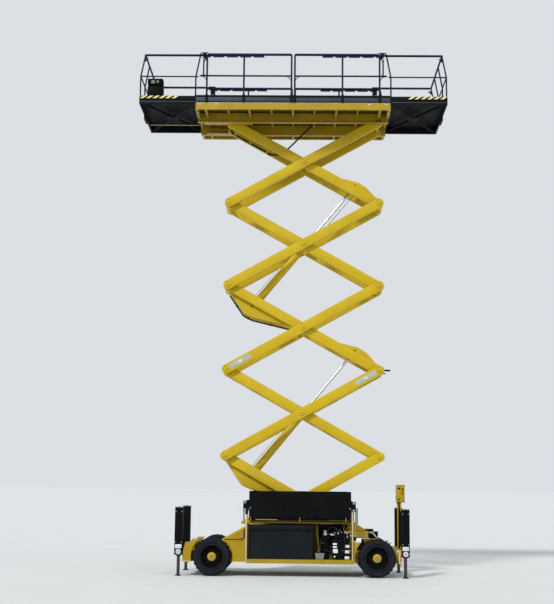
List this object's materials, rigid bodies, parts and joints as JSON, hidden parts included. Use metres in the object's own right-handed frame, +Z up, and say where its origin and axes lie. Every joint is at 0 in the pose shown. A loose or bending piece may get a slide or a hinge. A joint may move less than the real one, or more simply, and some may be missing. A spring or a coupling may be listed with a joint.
{
  "type": "rough-terrain scissor lift",
  "caption": "Wheeled scissor lift: crossed arm stages raise a railed platform with sliding deck extensions on a jacked chassis.",
  "frame": {"origin": "on the ground under the middle of the platform", "axes": "+X towards the steered end and the fixed pivots, +Z up, +Y across the machine"},
  "size_m": [7.744, 2.54, 12.8997],
  "materials": {
    "yellow_enamel": "gloss",
    "dark_enamel": "satin",
    "grey_enamel": "satin",
    "tyre_rubber": "matte",
    "wheel_steel": "satin",
    "chrome_rod": "polished",
    "hose_rubber": "satin",
    "cast_steel": "matte"
  },
  "bodies": {
    "chassis": {"chassis_frame": "yellow_enamel", "bay_frames": "yellow_enamel", "body_pods": "yellow_enamel", "side_brackets": "yellow_enamel", "rigid_axle": "cast_steel", "steer_axle": "cast_steel", "scissor_base": "yellow_enamel", "control_post": "yellow_enamel", "battery_box_near": "grey_enamel", "battery_box_far": "grey_enamel", "tank_far": "grey_enamel", "hydraulic_unit": "grey_enamel", "jack_housing_left_near": "dark_enamel", "jack_housing_left_far": "dark_enamel", "jack_housing_right_near": "dark_enamel", "jack_housing_right_far": "dark_enamel"},
    "knuckle_near": {"knuckle_near": "cast_steel"},
    "knuckle_far": {"knuckle_far": "cast_steel"},
    "wheel_rigid_near": {"tyre_rigid_near": "tyre_rubber", "rim_rigid_near": "wheel_steel"},
    "wheel_rigid_far": {"tyre_rigid_far": "tyre_rubber", "rim_rigid_far": "wheel_steel"},
    "wheel_steer_near": {"tyre_steer_near": "tyre_rubber", "rim_steer_near": "wheel_steel"},
    "wheel_steer_far": {"tyre_steer_far": "tyre_rubber", "rim_steer_far": "wheel_steel"},
    "track_rod": {"track_rod": "cast_steel"},
    "cover_near": {"cover_near": "dark_enamel"},
    "cover_far": {"cover_far": "dark_enamel"},
    "jack_leg_left_near": {"jack_leg_left_near": "chrome_rod"},
    "jack_leg_left_far": {"jack_leg_left_far": "chrome_rod"},
    "jack_leg_right_near": {"jack_leg_right_near": "chrome_rod"},
    "jack_leg_right_far": {"jack_leg_right_far": "chrome_rod"},
    "arms_inner_1": {"arms_inner_1": "yellow_enamel"},
    "arms_outer_1": {"arms_outer_1": "yellow_enamel"},
    "arms_inner_2": {"arms_inner_2": "yellow_enamel"},
    "arms_outer_2": {"arms_outer_2": "yellow_enamel"},
    "arms_inner_3": {"arms_inner_3": "yellow_enamel"},
    "arms_outer_3": {"arms_outer_3": "yellow_enamel"},
    "arms_inner_4": {"arms_inner_4": "yellow_enamel"},
    "arms_outer_4": {"arms_outer_4": "yellow_enamel"},
    "arms_inner_5": {"arms_inner_5": "yellow_enamel", "hose_arm_5": "hose_rubber"},
    "arms_outer_5": {"arms_outer_5": "yellow_enamel"},
    "platform": {"platform_frame": "yellow_enamel", "main_deck": "dark_enamel", "main_rails": "dark_enamel"},
    "platform_hose": {"platform_hose": "hose_rubber"},
    "barrel_lower": {"barrel_lower": "yellow_enamel"},
    "rod_lower": {"rod_lower": "chrome_rod"},
    "barrel_upper": {"barrel_upper": "yellow_enamel"},
    "rod_upper": {"rod_upper": "chrome_rod"},
    "extension_left": {"deck_extension_left": "dark_enamel", "rails_extension_left": "dark_enamel", "console": "grey_enamel"},
    "extension_right": {"deck_extension_right": "dark_enamel", "rails_extension_right": "dark_enamel"}
  },
  "joints": [
    {"name": "steer_near", "type": "hinge", "parent": "chassis", "child": "knuckle_near", "pos_m": [2.093, -0.64, 0.45], "axis": [0, 0, 1], "range_deg": [-25, 25]},
    {"name": "steer_far", "type": "hinge", "parent": "chassis", "child": "knuckle_far", "pos_m": [2.093, 0.64, 0.45], "axis": [0, 0, 1], "range_deg": [-25, 25]},
    {"name": "spin_rigid_near", "type": "hinge", "parent": "chassis", "child": "wheel_rigid_near", "pos_m": [-1.837, -0.865, 0.45], "axis": [0, 1, 0], "continuous": true},
    {"name": "spin_rigid_far", "type": "hinge", "parent": "chassis", "child": "wheel_rigid_far", "pos_m": [-1.837, 0.865, 0.45], "axis": [0, 1, 0], "continuous": true},
    {"name": "spin_steer_near", "type": "hinge", "parent": "knuckle_near", "child": "wheel_steer_near", "pos_m": [2.093, -0.865, 0.45], "axis": [0, 1, 0], "continuous": true},
    {"name": "spin_steer_far", "type": "hinge", "parent": "knuckle_far", "child": "wheel_steer_far", "pos_m": [2.093, 0.865, 0.45], "axis": [0, 1, 0], "continuous": true},
    {"name": "track_rod_shift", "type": "slide", "parent": "chassis", "child": "track_rod", "axis": [0, 1, 0], "range_m": [-0.08, 0.08]},
    {"name": "cover_near_hinge", "type": "hinge", "parent": "chassis", "child": "cover_near", "pos_m": [0.256, -1.012, 1.38], "axis": [1, 0, 0], "range_deg": [0, 178]},
    {"name": "cover_far_hinge", "type": "hinge", "parent": "chassis", "child": "cover_far", "pos_m": [0.256, 1.012, 1.38], "axis": [1, 0, 0], "range_deg": [-178, 0]},
    {"name": "jack_leg_left_near_slide", "type": "slide", "parent": "chassis", "child": "jack_leg_left_near", "axis": [0, 0, 1], "range_m": [-0.3, 0.43]},
    {"name": "jack_leg_left_far_slide", "type": "slide", "parent": "chassis", "child": "jack_leg_left_far", "axis": [0, 0, 1], "range_m": [-0.3, 0.43]},
    {"name": "jack_leg_right_near_slide", "type": "slide", "parent": "chassis", "child": "jack_leg_right_near", "axis": [0, 0, 1], "range_m": [-0.3, 0.43]},
    {"name": "jack_leg_right_far_slide", "type": "slide", "parent": "chassis", "child": "jack_leg_right_far", "axis": [0, 0, 1], "range_m": [-0.3, 0.43]},
    {"name": "lift", "type": "hinge", "parent": "chassis", "child": "arms_inner_1", "pos_m": [2.201, 0, 0.72], "axis": [0, 1, 0], "range_deg": [-25.9, 10.7]},
    {"name": "crossing_1", "type": "hinge", "parent": "arms_inner_1", "child": "arms_outer_1", "pos_m": [0.30163, 0, 1.78588], "axis": [0, 1, 0], "range_deg": [-21.5, 51.9]},
    {"name": "knee_2", "type": "hinge", "parent": "arms_outer_1", "child": "arms_inner_2", "pos_m": [2.201, 0, 2.85175], "axis": [0, 1, 0], "range_deg": [-51.9, 21.5]},
    {"name": "crossing_2", "type": "hinge", "parent": "arms_inner_2", "child": "arms_outer_2", "pos_m": [0.30163, 0, 3.91763], "axis": [0, 1, 0], "range_deg": [-21.5, 51.9]},
    {"name": "knee_3", "type": "hinge", "parent": "arms_outer_2", "child": "arms_inner_3", "pos_m": [2.201, 0, 4.9835], "axis": [0, 1, 0], "range_deg": [-51.9, 21.5]},
    {"name": "crossing_3", "type": "hinge", "parent": "arms_inner_3", "child": "arms_outer_3", "pos_m": [0.30163, 0, 6.04938], "axis": [0, 1, 0], "range_deg": [-21.5, 51.9]},
    {"name": "knee_4", "type": "hinge", "parent": "arms_outer_3", "child": "arms_inner_4", "pos_m": [2.201, 0, 7.11525], "axis": [0, 1, 0], "range_deg": [-51.9, 21.5]},
    {"name": "crossing_4", "type": "hinge", "parent": "arms_inner_4", "child": "arms_outer_4", "pos_m": [0.30163, 0, 8.18112], "axis": [0, 1, 0], "range_deg": [-21.5, 51.9]},
    {"name": "knee_5", "type": "hinge", "parent": "arms_outer_4", "child": "arms_inner_5", "pos_m": [2.201, 0, 9.247], "axis": [0, 1, 0], "range_deg": [-51.9, 21.5]},
    {"name": "crossing_5", "type": "hinge", "parent": "arms_inner_5", "child": "arms_outer_5", "pos_m": [0.30163, 0, 10.31288], "axis": [0, 1, 0], "range_deg": [-21.5, 51.9]},
    {"name": "platform_level", "type": "hinge", "parent": "arms_outer_5", "child": "platform", "pos_m": [2.201, 0, 11.37875], "axis": [0, 1, 0], "range_deg": [-26, 10.8]},
    {"name": "platform_hose_swing", "type": "hinge", "parent": "platform", "child": "platform_hose", "pos_m": [0.5425, -0.175, 11.43075], "axis": [0, 1, 0], "range_deg": [-10.8, 26]},
    {"name": "barrel_lower_pivot", "type": "hinge", "parent": "arms_inner_1", "child": "barrel_lower", "pos_m": [-0.99267, 0, 2.3402], "axis": [0, 1, 0], "range_deg": [-25.35, 61.22]},
    {"name": "rod_lower_slide", "type": "slide", "parent": "barrel_lower", "child": "rod_lower", "axis": [0.6343, 0, 0.7731], "range_m": [-1.248, 0.519]},
    {"name": "barrel_upper_pivot", "type": "hinge", "parent": "arms_inner_3", "child": "barrel_upper", "pos_m": [-0.99267, 0, 6.6037], "axis": [0, 1, 0], "range_deg": [-25.35, 61.22]},
    {"name": "rod_upper_slide", "type": "slide", "parent": "barrel_upper", "child": "rod_upper", "axis": [0.6343, 0, 0.7731], "range_m": [-1.248, 0.519]},
    {"name": "extension_left_slide", "type": "slide", "parent": "platform", "child": "extension_left", "axis": [1, 0, 0], "range_m": [0, 1.38]},
    {"name": "extension_right_slide", "type": "slide", "parent": "platform", "child": "extension_right", "axis": [-1, 0, 0], "range_m": [0, 1.38]}
  ],
  "couplings": [
    {"joint": "steer_far", "follows": "steer_near", "ratio": 1},
    {"joint": "track_rod_shift", "follows": "steer_near", "m_per_rad": -0.166},
    {"joint": "crossing_1", "follows": "lift", "ratio": -2},
    {"joint": "knee_2", "follows": "lift", "ratio": 2},
    {"joint": "crossing_2", "follows": "lift", "ratio": -2},
    {"joint": "knee_3", "follows": "lift", "ratio": 2},
    {"joint": "crossing_3", "follows": "lift", "ratio": -2},
    {"joint": "knee_4", "follows": "lift", "ratio": 2},
    {"joint": "crossing_4", "follows": "lift", "ratio": -2},
    {"joint": "knee_5", "follows": "lift", "ratio": 2},
    {"joint": "crossing_5", "follows": "lift", "ratio": -2},
    {"joint": "platform_level", "follows": "lift", "ratio": 1},
    {"joint": "platform_hose_swing", "follows": "lift", "ratio": -1},
    {"joint": "barrel_lower_pivot", "follows": "lift", "ratio": -2.36},
    {"joint": "rod_lower_slide", "follows": "lift", "m_per_rad": 2.75},
    {"joint": "barrel_upper_pivot", "follows": "lift", "ratio": -2.36},
    {"joint": "rod_upper_slide", "follows": "lift", "m_per_rad": 2.75}
  ]
}
